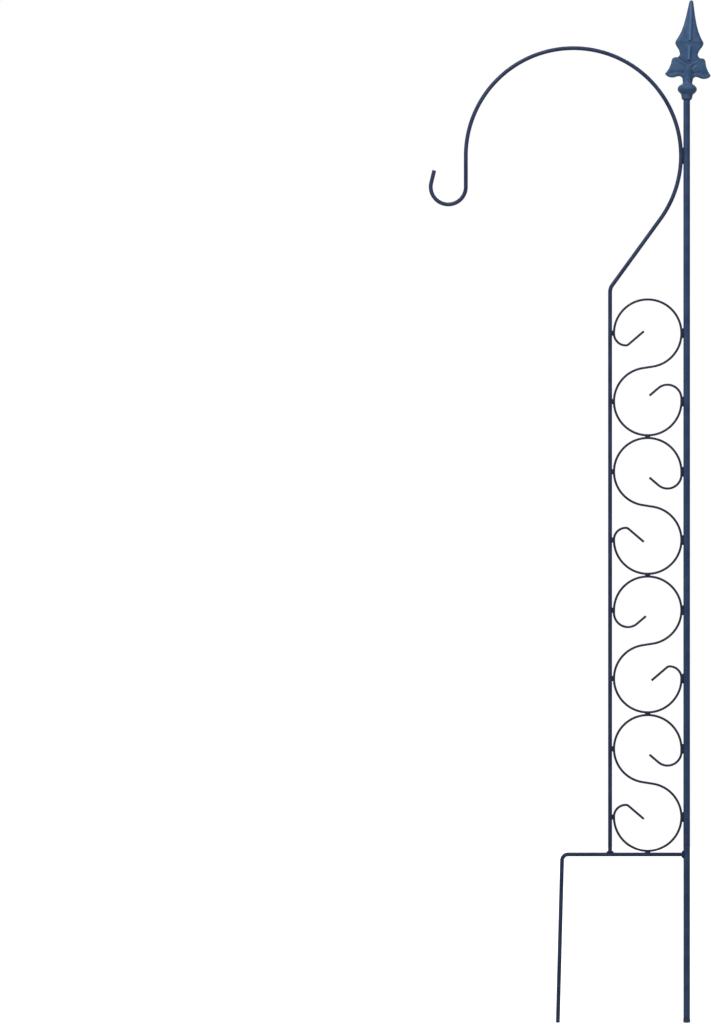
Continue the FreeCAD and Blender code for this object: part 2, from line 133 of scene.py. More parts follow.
@dataclass(frozen=True)
class PowderCoat:
    """Polyester powder, sprayed dry on steel and baked: a satin skin with a faint orange peel.

    The eye gets a soft, broad highlight, slightly uneven depth of colour where the skin is thinner, and
    now and then a nib where a grain of dust was baked in. A piece that has the attribute
    painted_crest_highlight is
    painted paler where that is 1: a painted highlight along the crest of the finial's rib.
    """

    slot: str
    colour: str
    thin_colour: str
    roughness: float
    peel: float = 1.6
    peel_height: float = 0.28
    peel_strength: float = 0.6
    mottle: float = 26.0
    mottle_edges: Pair = (0.34, 0.66)
    gloss_edges: Pair = (0.3, 0.7)
    gloss_swing: float = 0.05
    nib_spacing: float = 7.0
    nib_edges: Pair = (0.03, 0.09)
    nib_height: float = 0.45
    specular: float = 0.14
    painted_highlight_colour: Optional[str] = None

    def paint(self, name: str) -> Material:
        """Build the coat's material.

        Args:
            name: Name of the material.

        Returns:
            The material, its patterns in Object coordinates.
        """
        coat = bpy.data.materials.new(name)
        coat.use_nodes = True
        tree = coat.node_tree
        place = add_node(tree, "ShaderNodeTexCoord").outputs["Object"]
        # Depth of colour, in clouds a few centimetres wide.
        cloud = add_node(tree, "ShaderNodeTexNoise", {
            "Vector": place, "Scale": 1 / (self.mottle * MM), "Detail": 4.0, "Roughness": 0.6})
        share = add_node(tree, "ShaderNodeMapRange", {
            "Value": cloud, "From Min": self.mottle_edges[0], "From Max": self.mottle_edges[1]},
            interpolation_type="SMOOTHSTEP")
        depth = add_node(tree, "ShaderNodeMix", {
            "Factor": share, MIX_FIRST: linear(self.colour), MIX_SECOND: linear(self.thin_colour)},
            data_type="RGBA")
        # Painted highlight: a paler colour where the piece's crest attribute is 1.
        if self.painted_highlight_colour:
            painted_highlight = add_node(tree, "ShaderNodeAttribute", attribute_name="painted_crest_highlight").outputs["Fac"]
            depth = add_node(tree, "ShaderNodeMix", {
                "Factor": painted_highlight, MIX_FIRST: depth.outputs[MIX_RESULT], MIX_SECOND: linear(self.painted_highlight_colour)},
                data_type="RGBA")
        gloss = add_node(tree, "ShaderNodeMapRange", {
            "Value": cloud, "From Min": self.gloss_edges[0], "From Max": self.gloss_edges[1],
            "To Min": self.roughness + self.gloss_swing, "To Max": self.roughness - self.gloss_swing})
        # Real orange peel is about half as wide, and is drawn coarser so that it shows.
        peel = add_node(tree, "ShaderNodeTexNoise", {
            "Vector": place, "Scale": 1 / (self.peel * MM), "Detail": 2.0, "Roughness": 0.45})
        grain = add_node(tree, "ShaderNodeTexVoronoi", {
            "Vector": place, "Scale": 1 / (self.nib_spacing * MM), "Randomness": 1.0})
        nib = add_node(tree, "ShaderNodeMapRange", {
            "Value": grain, "From Min": self.nib_edges[0], "From Max": self.nib_edges[1],
            "To Min": 1.0, "To Max": 0.0}, interpolation_type="SMOOTHSTEP")
        height = add_node(tree, "ShaderNodeMath", {0: nib, 1: self.nib_height, 2: peel},
                          operation="MULTIPLY_ADD")
        bump = add_node(tree, "ShaderNodeBump", {
            "Height": height, "Strength": self.peel_strength, "Distance": self.peel_height * MM})
        fill(tree.nodes["Principled BSDF"], {
            "Base Color": depth.outputs[MIX_RESULT], "Roughness": gloss, "Normal": bump,
            "Specular IOR Level": self.specular})
        return coat


@dataclass(frozen=True)
class MouldedPlastic:
    """Polyethylene, moulded in a spark-eroded tool: matt, with a fine even grain and a waxy depth."""

    slot: str
    colour: str
    thin_colour: str
    roughness: float
    grain: float = 0.5
    grain_height: float = 0.03
    grain_strength: float = 0.5
    specular: float = 0.4

    def paint(self, name: str) -> Material:
        """Build the plastic's material.

        Args:
            name: Name of the material.

        Returns:
            The material, its grain in Object coordinates.
        """
        plastic = bpy.data.materials.new(name)
        plastic.use_nodes = True
        tree = plastic.node_tree
        place = add_node(tree, "ShaderNodeTexCoord").outputs["Object"]
        # Spark-eroded grain, drawn coarser than the real tenth of a millimetre so that it shows.
        grain = add_node(tree, "ShaderNodeTexNoise", {
            "Vector": place, "Scale": 1 / (self.grain * MM), "Detail": 3.0, "Roughness": 0.7})
        depth = add_node(tree, "ShaderNodeMix", {
            "Factor": grain, MIX_FIRST: linear(self.colour), MIX_SECOND: linear(self.thin_colour)},
            data_type="RGBA")
        bump = add_node(tree, "ShaderNodeBump", {
            "Height": grain, "Strength": self.grain_strength, "Distance": self.grain_height * MM})
        fill(tree.nodes["Principled BSDF"], {
            "Base Color": depth.outputs[MIX_RESULT], "Roughness": self.roughness, "Normal": bump,
            "Specular IOR Level": self.specular})
        return plastic


class Finish(Enum):
    """The finishes on the object, one for each material slot of the frame."""

    # Smooth drawn tube takes an even coat.
    POST = PowderCoat("post_coat", "#283a5a", "#324665", 0.46)
    # Sand-cast iron under the coat stays a little lumpy, and thick coat fills its creases. The coat is drawn
    # lighter than on the rods: painted light, for the light that the broad casting catches.
    FINIAL = PowderCoat("finial_coat", "#334b6c", "#3e5776", 0.5, peel=2.2, peel_height=0.45, mottle=14.0,
                        # The paler crest colour below is a painted highlight along the rib's crest.
                        painted_highlight_colour="#4a6688")
    # Hot-rolled bar.
    ROD = PowderCoat("rod_coat", "#242e49", "#2f3a58", 0.46)
    # Thin drawn wire, in the same coat drawn darker than the rods': painted shade, for the little light that
    # a thin wire catches.
    WIRE = PowderCoat("wire_coat", "#22253a", "#2d3047", 0.46, mottle=18.0)
    # Coat over weld metal is rough; its darker colour is painted shade, for the joints where the beads sit.
    WELD = PowderCoat("weld_coat", "#182136", "#222d45", 0.55, peel=0.9, peel_height=0.25, mottle=5.0)
    PLUG = MouldedPlastic("end_plug", "#18222f", "#212d3c", 0.5)

    @property
    def slot(self) -> str:
        """Name of the frame's material slot."""
        return self.value.slot

    def material(self) -> Material:
        """The finish's material, built on first use."""
        name = "moulded_polyethylene" if self is Finish.PLUG else f"powder_coat_{self.name.lower()}"
        return bpy.data.materials.get(name) or self.value.paint(name)


# A finished piece, the CAD node that it stands for and its finish.
Made = tuple[Object, str, Finish]


@dataclass(frozen=True)
class Layout:
    """Sizes that several pieces share, and the places that follow from them."""

    post_radius: float = 5.0
    rod_radius: float = 3.0
    wire_radius: float = 1.75
    side_gap: float = 1.1
    butt_gap: float = 0.6
    scroll_count: int = 4
    ring_radius: float = 50.4
    crossing_tilt: float = 9.0
    rail_head: float = 15.0
    diagonal_angle: float = 36.0
    arch_radius: float = 160.7
    stake_depth: float = 248.0
    post_above_weld: float = 83.0
    socket_depth: float = 16.0

    @property
    def ring_outer(self) -> float:
        """Outside radius of a scroll's ring."""
        return self.ring_radius + self.wire_radius

    @property
    def ring_spacing(self) -> float:
        """Distance between the two ring centres of a scroll."""
        return 2 * self.ring_radius / math.cos(math.radians(self.crossing_tilt))

    @property
    def pitch(self) -> float:
        """Distance from one scroll to the next."""
        return self.ring_spacing + 2 * self.ring_outer + self.butt_gap

    @property
    def scroll_x(self) -> float:
        """Middle line of the scrolls."""
        return -(self.post_radius + self.side_gap + self.ring_outer)

    @property
    def rail_x(self) -> float:
        """Axis of the trellis rail."""
        return self.scroll_x - self.ring_outer - self.side_gap - self.rod_radius

    @property
    def crossbar_top(self) -> float:
        """Upper side of the crossbar, which stands on the ground line."""
        return 2 * self.rod_radius

    @property
    def stack_top(self) -> float:
        """Top of the highest scroll."""
        return self.crossbar_top + self.scroll_count * self.pitch

    @property
    def corner_z(self) -> float:
        """Height of the corner where the rail turns into the diagonal."""
        return self.stack_top + self.rail_head

    @property
    def arch_x(self) -> float:
        """Centre of the arch, sideways."""
        return -(self.post_radius + self.butt_gap + self.rod_radius + self.arch_radius)

    @property
    def diagonal_run(self) -> float:
        """Length of the diagonal from its corner to the start of the arch."""
        slant = math.radians(self.diagonal_angle)
        return (self.arch_x + self.arch_radius * math.cos(slant) - self.rail_x) / math.sin(slant)

    @property
    def arch_z(self) -> float:
        """Height of the arch's centre, where the rod touches the post."""
        slant = math.radians(self.diagonal_angle)
        return self.corner_z + self.diagonal_run * math.cos(slant) + self.arch_radius * math.sin(slant)

    @property
    def finial_z(self) -> float:
        """Lower edge of the finial."""
        return self.arch_z + self.post_above_weld

    def middle_z(self, index: int) -> float:
        """Height of the crossing of a scroll, counted from the top."""
        return self.stack_top - self.ring_outer - self.ring_spacing / 2 - (index - 1) * self.pitch

    def ring_heights(self, index: int) -> Pair:
        """Heights of the two ring centres of a scroll."""
        return (self.middle_z(index) + self.ring_spacing / 2, self.middle_z(index) - self.ring_spacing / 2)


class BendPath:
    """A path in the XZ plane, written as a bending machine makes it: feeds and bends."""

    nose_points = 5

    def __init__(self, x: float, z: float, heading: float) -> None:
        """Start at a place, with a heading in degrees from +X towards +Z."""
        self.points: list[Pair] = [(x, z)]
        self.heading = heading

    def feed(self, length: float) -> None:
        """Run straight on."""
        (x, z), angle = self.points[-1], math.radians(self.heading)
        self.points.append((x + length * math.cos(angle), z + length * math.sin(angle)))

    def bend(self, radius: float, turn: float, step: float) -> None:
        """Turn on a tangent arc.

        Args:
            radius: Radius of the arc's middle line.
            turn: Angle in degrees, positive to the left.
            step: Largest angle between two points on the arc.
        """
        x, z = self.points[-1]
        arm = math.copysign(1.0, turn) * radius
        first = math.radians(self.heading)
        centre_x = x - arm * math.sin(first)
        centre_z = z + arm * math.cos(first)
        for angle in first + np.radians(np.linspace(0, turn, math.ceil(abs(turn) / step) + 1)[1:]):
            self.points.append((centre_x + arm * math.sin(angle), centre_z - arm * math.cos(angle)))
        self.heading += turn

    def trace(self, radius: float, nose: float) -> tuple[np.ndarray, np.ndarray]:
        """Points along the path and the stock's radius at each, its two ends rounded.

        Args:
            radius: Radius of the stock.
            nose: Length over which an end is rounded.

        Returns:
            Points as rows of x, y, z and one radius to a point.
        """
        line = np.array(self.points)
        along = np.concatenate([[0.0], np.cumsum(np.hypot(*np.diff(line, axis=0).T))])
        rise = nose * (1 - np.cos(np.linspace(0, math.pi / 2, self.nose_points)))
        marks = np.unique(np.concatenate([rise, along[1:-1], along[-1] - rise]))
        from_end = np.minimum(marks, along[-1] - marks)
        round_share = np.sqrt(1 - (1 - np.clip(from_end / nose, 0, 1)) ** 2)
        x, z = np.interp(marks, along, line[:, 0]), np.interp(marks, along, line[:, 1])
        return np.column_stack([x, np.zeros_like(x), z]), radius - nose * (1 - round_share)


class NodeTrees:
    """Geometry Nodes trees for what follows a path or repeats."""

    bead_stations = 49
    bead_sides = 20
    bead_fullness = 2.6
    least_swell = 0.08
    lump_detail = 2.0

    @staticmethod
    def open_tree(name: str, sockets: dict[str, str]) -> tuple[NodeTree, bpy.types.bpy_prop_collection]:
        """Start a tree with named inputs.

        Args:
            name: Name of the tree.
            sockets: Kind of socket for each input's name.

        Returns:
            The tree and the outputs of its input node.
        """
        tree = bpy.data.node_groups.new(name, "GeometryNodeTree")
        for label, kind in sockets.items():
            tree.interface.new_socket(label, in_out="INPUT", socket_type=kind)
        tree.interface.new_socket("Geometry", in_out="OUTPUT", socket_type="NodeSocketGeometry")
        return tree, add_node(tree, "NodeGroupInput").outputs

    @staticmethod
    def close_tree(tree: NodeTree, shape: Node, coat: NodeSocket) -> None:
        """End a tree: smooth shading, plain geometry and the coat.

        Args:
            tree: Tree to end.
            shape: Node whose first output is the finished geometry.
            coat: Output with the material.
        """
        smooth = add_node(tree, "GeometryNodeSetShadeSmooth", {"Geometry": shape})
        plain = add_node(tree, "GeometryNodeRealizeInstances", {"Geometry": smooth})
        coated = add_node(tree, "GeometryNodeSetMaterial", {"Geometry": plain, "Material": coat})
        add_node(tree, "NodeGroupOutput", {"Geometry": coated})

    @classmethod
    def bent_stock(cls) -> NodeTree:
        """Round stock swept along a path whose points carry the stock's radius.

        Returns:
            The tree.
        """
        tree, given = cls.open_tree("bent_stock", {
            "Path": "NodeSocketGeometry", "Sides": "NodeSocketInt", "Coat": "NodeSocketMaterial"})
        path = add_node(tree, "GeometryNodeMeshToCurve", {"Mesh": given["Path"]})
        section = add_node(tree, "GeometryNodeCurvePrimitiveCircle", {
            "Resolution": given["Sides"], "Radius": 1.0})
        radius = add_node(tree, "GeometryNodeInputNamedAttribute", {"Name": "stock_radius"},
                          data_type="FLOAT")
        bar = add_node(tree, "GeometryNodeCurveToMesh", {
            "Curve": path, "Profile Curve": section, "Scale": radius, "Fill Caps": True})
        cls.close_tree(tree, bar, given["Coat"])
        return tree

    @classmethod
    def weld_beads(cls) -> NodeTree:
        """Rippled beads of weld metal, one on each point, with a fixed unevenness.

        Returns:
            The tree.
        """
        sizes = ("Length", "Half Gap", "Half Depth", "Ripples", "Ripple Height", "Lump Size", "Lump Height",
                 "Turn")
        tree, given = cls.open_tree("weld_beads", {
            "Spots": "NodeSocketGeometry", **dict.fromkeys(sizes, "NodeSocketFloat"),
            "Coat": "NodeSocketMaterial"})
        half = add_node(tree, "ShaderNodeMath", {0: given["Length"], 1: 0.5}, operation="MULTIPLY")
        back = add_node(tree, "ShaderNodeMath", {0: half, 1: -1.0}, operation="MULTIPLY")
        start = add_node(tree, "ShaderNodeCombineXYZ", {"X": back})
        end = add_node(tree, "ShaderNodeCombineXYZ", {"X": half})
        seam = add_node(tree, "GeometryNodeCurvePrimitiveLine", {"Start": start, "End": end})
        seam = add_node(tree, "GeometryNodeResampleCurve", {"Curve": seam, "Count": cls.bead_stations})
        along = add_node(tree, "GeometryNodeSplineParameter")
        # Ends rounded as the puddle freezes: the radius follows a fat ellipse.
        swell = along
        for operation, others in (
                ("MULTIPLY_ADD", {1: 2.0, 2: -1.0}), ("ABSOLUTE", {}), ("POWER", {1: cls.bead_fullness}),
                ("MULTIPLY_ADD", {1: -1.0, 2: 1.0}), ("SQRT", {})):
            swell = add_node(tree, "ShaderNodeMath", {0: swell, **others}, operation=operation)
        # Ripples, one for each pause of the torch, as a share of that radius.
        radius = along
        for operation, others in (
                ("MULTIPLY", {1: given["Ripples"]}), ("MULTIPLY", {1: math.pi}), ("SINE", {}),
                ("ABSOLUTE", {}), ("SUBTRACT", {1: 1.0}),
                ("MULTIPLY_ADD", {1: given["Ripple Height"], 2: 1.0}), ("MULTIPLY", {1: swell}),
                ("MAXIMUM", {1: cls.least_swell})):
            radius = add_node(tree, "ShaderNodeMath", {0: radius, **others}, operation=operation)
        section = add_node(tree, "GeometryNodeCurvePrimitiveCircle", {
            "Resolution": cls.bead_sides, "Radius": 1.0})
        bead = add_node(tree, "GeometryNodeCurveToMesh", {
            "Curve": seam, "Profile Curve": section, "Scale": radius, "Fill Caps": True})
        girth = add_node(tree, "ShaderNodeCombineXYZ", {
            "X": 1.0, "Y": given["Half Depth"], "Z": given["Half Gap"]})
        bead = add_node(tree, "GeometryNodeTransform", {"Geometry": bead, "Scale": girth})
        euler = add_node(tree, "ShaderNodeCombineXYZ", {"Y": given["Turn"]})
        turn = add_node(tree, "FunctionNodeEulerToRotation", {0: euler})
        beads = add_node(tree, "GeometryNodeInstanceOnPoints", {
            "Points": given["Spots"], "Instance": bead, "Rotation": turn})
        beads = add_node(tree, "GeometryNodeRealizeInstances", {"Geometry": beads})
        # Lumps differ from bead to bead because the noise lies in the object's space.
        fineness = add_node(tree, "ShaderNodeMath", {0: 1.0, 1: given["Lump Size"]}, operation="DIVIDE")
        lump = add_node(tree, "ShaderNodeTexNoise", {"Scale": fineness, "Detail": cls.lump_detail})
        lump = add_node(tree, "ShaderNodeMath", {0: lump, 1: 0.5}, operation="SUBTRACT")
        lump = add_node(tree, "ShaderNodeMath", {0: lump, 1: given["Lump Height"]}, operation="MULTIPLY")
        normal = add_node(tree, "GeometryNodeInputNormal")
        push = add_node(tree, "ShaderNodeVectorMath", {0: normal, "Scale": lump}, operation="SCALE")
        uneven = add_node(tree, "GeometryNodeSetPosition", {"Geometry": beads, "Offset": push})
        cls.close_tree(tree, uneven, given["Coat"])
        return tree


def new_object(name: str, data: ID) -> Object:
    """Put a mesh, lamp or camera in the scene as an object at the origin.

    Args:
        name: Name of the object.
        data: The mesh, lamp or camera.

    Returns:
        The object.
    """
    thing = bpy.data.objects.new(name, data)
    bpy.context.scene.collection.objects.link(thing)
    return thing


def grow(name: str, seed: Mesh, tree: NodeTree, sizes: dict[str, Any]) -> Object:
    """Run a Geometry Nodes tree on a mesh and keep the result as a plain mesh.

    Args:
        name: Name of the piece.
        seed: Mesh that goes into the tree's first input.
        tree: The tree.
        sizes: Value for each of the tree's other inputs, by name.

    Returns:
        The piece's object, without modifiers.
    """
    piece = new_object(name, seed)
    modifier = piece.modifiers.new("grow", "NODES")
    modifier.node_group = tree
    for socket in tree.interface.items_tree:
        if socket.in_out == "INPUT" and socket.name in sizes:
            modifier[socket.identifier] = sizes[socket.name]
    shaped = piece.evaluated_get(bpy.context.evaluated_depsgraph_get())
    mesh = bpy.data.meshes.new_from_object(shaped)
    piece.modifiers.remove(modifier)
    piece.data = mesh
    bpy.data.meshes.remove(seed)
    mesh.name = name
    return piece


@dataclass(frozen=True)
class BentStock:
    """What the bent bars share: the sweep, the sides of its section and the rounding of the cut ends."""

    layout: Layout
    tree: NodeTree
    sides: int = 28
    nose: float = 0.8

    def sweep(self, name: str, node: str, path: BendPath, radius: float, finish: Finish) -> Made:
        """Sweep round stock along a path.

        Args:
            name: Name of the piece.
            node: Name of the CAD node.
            path: The path of the stock's middle line.
            radius: Radius of the stock.
            finish: The coat.

        Returns:
            The coated piece with its node and finish.
        """
        points, radii = path.trace(radius, self.nose)
        seed = bpy.data.meshes.new(name)
        seed.from_pydata((points * MM).tolist(), [(n, n + 1) for n in range(len(points) - 1)], [])
        stock = seed.attributes.new("stock_radius", "FLOAT", "POINT")
        stock.data.foreach_set("value", (radii * MM).astype(np.float32))
        sizes = {"Sides": self.sides, "Coat": finish.material()}
        return grow(name, seed, self.tree, sizes), node, finish


@dataclass(frozen=True)
class HookRod(BentStock):
    """One bar that is the trellis rail, the diagonal to the post, the arch and the J."""

    nose: float = 0.9
    corner_radius: float = 18.0
    shank: float = 46.5
    bowl_radius: float = 26.2
    tip_lean: float = 13.6
    tip: float = 19.0
    bend_step: float = 3.0
    arch_step: float = 1.5

    def build(self) -> list[Made]:
        """Bend the bar and coat it.

        Returns:
            The bar.
        """
        plan = self.layout
        foot = plan.crossbar_top + plan.butt_gap
        tangent = self.corner_radius * math.tan(math.radians(plan.diagonal_angle) / 2)
        path = BendPath(plan.rail_x, foot, UPWARD)
        path.feed(plan.corner_z - tangent - foot)
        path.bend(self.corner_radius, -plan.diagonal_angle, self.bend_step)
        path.feed(plan.diagonal_run - tangent)
        path.bend(plan.arch_radius, 180 + plan.diagonal_angle, self.arch_step)
        path.feed(self.shank)
        path.bend(self.bowl_radius, -(180 + self.tip_lean), self.bend_step)
        path.feed(self.tip)
        return [self.sweep("bent_hook_bar", "hook_rod", path, plan.rod_radius, Finish.ROD)]


@dataclass(frozen=True)
class GroundLeg(BentStock):
    """The crossbar that a foot presses on, bent down into the side leg."""

    outreach: float = 71.5
    bend_radius: float = 9.0
    bend_step: float = 4.0
    splay: float = 1.5

    def build(self) -> list[Made]:
        """Bend the bar and coat it.

        Returns:
            The bar.
        """
        plan = self.layout
        turn = 90 - self.splay
        tangent = self.bend_radius * math.tan(math.radians(turn) / 2)
        start = -(plan.post_radius + plan.butt_gap)
        path = BendPath(start, plan.rod_radius, LEFTWARD)
        path.feed(start - (plan.rail_x - self.outreach) - tangent)
        path.bend(self.bend_radius, turn, self.bend_step)
        path.feed((plan.stake_depth + plan.rod_radius) / math.cos(math.radians(self.splay)) - tangent)
        return [self.sweep("crossbar_and_side_leg", "ground_leg", path, plan.rod_radius, Finish.ROD)]


class Curl(Enum):
    """Ends of a scroll: straight lead, curl radius, radius of its last corner, straight tail."""

    ROUND = (4.2, 20.9, 20.9, 17.5)
    TIGHT = (0.6, 17.6, 6.5, 30.0)


@dataclass(frozen=True)
class ScrollStack(BentStock):
    """The S scrolls between rail and post, each two open rings joined by a slanted crossing."""

    sides: int = 20
    nose: float = 0.5
    tail_angle: float = 40.5
    ring_step: float = 2.5
    curl_step: float = 5.0
    corner_step: float = 6.0

    def half(self, index: int, heading: float, side: int, curl: Curl) -> BendPath:
        """Path of half a scroll, from its middle outward.

        Args:
            index: Number of the scroll, counted from the top.
            heading: Direction of the crossing, in degrees.
            side: 1 to turn left, -1 to turn right.
            curl: How the wire ends.

        Returns:
            The path.
        """
        plan = self.layout
        lead, curl_radius, corner_radius, tail = curl.value
        path = BendPath(plan.scroll_x, plan.middle_z(index), heading)
        path.feed(plan.ring_radius * math.tan(math.radians(plan.crossing_tilt)))
        path.bend(plan.ring_radius, side * (270 - plan.crossing_tilt), self.ring_step)
        path.feed(lead)
        path.bend(curl_radius, side * 90, self.curl_step)
        path.bend(corner_radius, side * self.tail_angle, self.corner_step)
        path.feed(tail)
        return path

    def build(self) -> list[Made]:
        """Bend each scroll and coat it. Odd ones are mirrored, the top one is upside down.

        Returns:
            The scrolls from the top down.
        """
        tilt = self.layout.crossing_tilt
        made = []
        for index in range(1, self.layout.scroll_count + 1):
            upper, lower = (Curl.TIGHT, Curl.ROUND) if index == 1 else (Curl.ROUND, Curl.TIGHT)
            heading, side = (tilt, 1) if index % 2 else (180 - tilt, -1)
            path = self.half(index, heading, side, upper)
            other = self.half(index, heading + 180, side, lower)
            path.points = other.points[:0:-1] + path.points[1:]
            name, node = f"scroll_wire_{index}", f"scroll_{index}"
            made.append(self.sweep(name, node, path, self.layout.wire_radius, Finish.WIRE))
        return made


class BeadRun(Enum):
    """Direction of a bead: turn about Y that lays the tree's bead along X or stands it along Z."""

    LYING = 0.0
    UPRIGHT = -math.pi / 2


@dataclass(frozen=True)
class Welds:
    """Beads of weld metal that hold the frame together."""

    layout: Layout
    tree: NodeTree
    lap: float = 2.2
    cover: float = 0.6
    ripple_spacing: float = 1.7
    ripple_height: float = 0.12
    lump_size: float = 3.0
    lump_height: float = 0.7
    rail_bead: float = 8.0
    post_bead: float = 15.0
    stack_bead: float = 8.0
    hook_bead: float = 25.0
    foot_bead: float = 11.0
    crossbar_bead: float = 12.0

    def lay(self, node: str, spots: Sequence[Pair], run: BeadRun, length: float, gap: float,
            radius: float) -> Made:
        """Lay the beads of one node.

        Args:
            node: Name of the CAD node.
            spots: Middle of each bead, as x and z.
            run: Direction of the beads.
            length: Length of a bead.
            gap: Gap that the beads bridge.
            radius: Radius of the thinner rod, which the beads stand over.

        Returns:
            The coated beads with their node and finish.
        """
        name = f"{node}_beads"
        seed = bpy.data.meshes.new(name)
        seed.from_pydata([(x * MM, 0.0, z * MM) for x, z in spots], [], [])
        beads = grow(name, seed, self.tree, {
            "Length": length * MM, "Half Gap": (gap / 2 + self.lap) * MM,
            "Half Depth": (radius + self.cover) * MM, "Turn": run.value,
            "Ripples": float(round(length / self.ripple_spacing)), "Ripple Height": self.ripple_height,
            "Lump Size": self.lump_size * MM, "Lump Height": self.lump_height * MM,
            "Coat": Finish.WELD.material()})
        return beads, node, Finish.WELD

    def build(self) -> list[Made]:
        """Lay the beads round each scroll, and where hook, rail and crossbar are joined.

        Returns:
            The beads of each node.
        """
        plan = self.layout
        side_gap, butt_gap, wire, rod = plan.side_gap, plan.butt_gap, plan.wire_radius, plan.rod_radius
        beside = {"rail": (plan.rail_x + rod + side_gap / 2, self.rail_bead),
                  "post": (-(plan.post_radius + side_gap / 2), self.post_bead)}
        made = []
        for index in range(1, plan.scroll_count + 1):
            for neighbour, (x, length) in beside.items():
                spots = [(x, height) for height in plan.ring_heights(index)]
                node = f"scroll_{index}_{neighbour}_welds"
                made.append(self.lay(node, spots, BeadRun.UPRIGHT, length, side_gap, wire))
            lowest = index == plan.scroll_count
            node = "scroll_foot_weld" if lowest else f"scroll_{index}_to_{index + 1}_weld"
            joint = (plan.scroll_x, plan.stack_top - index * plan.pitch + butt_gap / 2)
            made.append(self.lay(node, [joint], BeadRun.LYING, self.stack_bead, butt_gap, wire))
        at_post = -(plan.post_radius + butt_gap / 2)
        rail_foot = (plan.rail_x, plan.crossbar_top + butt_gap / 2)
        for node, spot, run, length in (
                ("hook_post_weld", (at_post, plan.arch_z), BeadRun.UPRIGHT, self.hook_bead),
                ("rail_foot_weld", rail_foot, BeadRun.LYING, self.foot_bead),
                ("crossbar_post_weld", (at_post, rod), BeadRun.UPRIGHT, self.crossbar_bead)):
            made.append(self.lay(node, [spot], run, length, butt_gap, rod))
        return made


def lathe(name: str, profile: Sequence[Pair], sides: int, finish: Finish) -> Object:
    """Turn a closed profile about the Z axis.

    Args:
        name: Name of the piece.
        profile: Radius and height of each point, counter-clockwise as seen from -Y.
        sides: Sides of the turned shape.
        finish: The piece's finish.

    Returns:
        The piece's object, with its points on the axis merged.
    """
    angles = np.linspace(0, 2 * math.pi, sides, endpoint=False)
    rows = [[(r * math.cos(a) * MM, r * math.sin(a) * MM, z * MM) for r, z in profile] for a in angles]
    count = len(profile)
    shape = bmesh.new()
    corners = [[shape.verts.new(point) for point in row] for row in rows]
    for side in range(sides):
        here, there = corners[side], corners[(side + 1) % sides]
        for n in range(count):
            after = (n + 1) % count
            shape.faces.new((here[n], there[n], there[after], here[after]))
    bmesh.ops.remove_doubles(shape, verts=shape.verts, dist=MERGE_WITHIN)
    bmesh.ops.dissolve_degenerate(shape, edges=shape.edges, dist=MERGE_WITHIN)
    bmesh.ops.delete(shape, geom=[edge for edge in shape.edges if edge.is_wire], context="EDGES")
    bmesh.ops.recalc_face_normals(shape, faces=shape.faces)
    mesh = bpy.data.meshes.new(name)
    shape.to_mesh(mesh)
    shape.free()
    mesh.materials.append(finish.material())
    mesh.shade_smooth()
    return new_object(name, mesh)


def rounded(corners: Sequence[tuple[float, float, float]], steps: int = 5) -> list[Pair]:
    """Round the corners of a closed profile.

    Args:
        corners: Radius, height and rounding of each corner, 0 for a sharp one.
        steps: Points on each rounding, less one.

    Returns:
        Points of the rounded profile.
    """
    points: list[Pair] = []
    for number, (x, z, rounding) in enumerate(corners):
        here = np.array([x, z])
        before = np.array(corners[number - 1][:2]) - here
        after = np.array(corners[(number + 1) % len(corners)][:2]) - here
        start = here + before / np.hypot(*before) * rounding
        end = here + after / np.hypot(*after) * rounding
        for share in np.linspace(0, 1, steps + 1) if rounding else [0.0]:
            point = (1 - share) ** 2 * start + 2 * share * (1 - share) * here + share ** 2 * end
            points.append((float(point[0]), float(point[1])))
    return points


@dataclass(frozen=True)
class Post:
    """The straight tube and the push-in plug in its lower end."""

    layout: Layout
    wall: float = 1.0
    rim_rounding: float = 0.3
    tube_sides: int = 48
    plug_fit: float = 0.1
    plug_shank: float = 14.0
    plug_lip: float = 0.4
    plug_rim: float = 5.0
    plug_sides: int = 40
    sole_rounding: float = 0.9
    shank_rounding: float = 0.8

    def build(self) -> list[Made]:
        """Turn the tube and the plug and finish them.

        Returns:
            The tube and the plug.
        """
        plan = self.layout
        sole = -plan.stake_depth
        bottom, top = self.plug_rim + sole, plan.finial_z + plan.socket_depth
        outer, bore, soft = plan.post_radius, plan.post_radius - self.wall, self.rim_rounding
        section = [(bore, bottom, soft), (outer, bottom, soft), (outer, top, soft), (bore, top, soft)]
        tube = lathe("post_tube_coated", rounded(section), self.tube_sides, Finish.POST)
        rim, shank, shank_top = outer + self.plug_lip, bore - self.plug_fit, bottom + self.plug_shank
        section = [
            (0.0, sole, 0.0), (rim, sole, self.sole_rounding), (rim, bottom, soft), (shank, bottom, 0.0),
            (shank, shank_top, self.shank_rounding), (0.0, shank_top, 0.0)]
        plug = lathe("post_end_plug_moulded", rounded(section), self.plug_sides, Finish.PLUG)
        return [(tube, "post_tube", Finish.POST), (plug, "post_end_plug", Finish.PLUG)]


def rounded_curve(stations: Sequence[Pair], at: np.ndarray, rounding: float, reads: int = 11) -> np.ndarray:
    """Read a curve drawn by a few stations, its corners rounded.

    Args:
        stations: Place and value of each station, in rising order.
        at: Places to read.
        rounding: Length over which a corner is rounded.
        reads: Number of reads about each place that are averaged.

    Returns:
        The curve's values.
    """
    places, values = np.array(stations).T
    shifts = np.linspace(-1, 1, reads)
    weights = 1 + np.cos(math.pi * shifts)
    heights = [w * np.interp(at + s * rounding, places, values) for s, w in zip(shifts, weights)]
    return np.sum(heights, axis=0) / weights.sum()


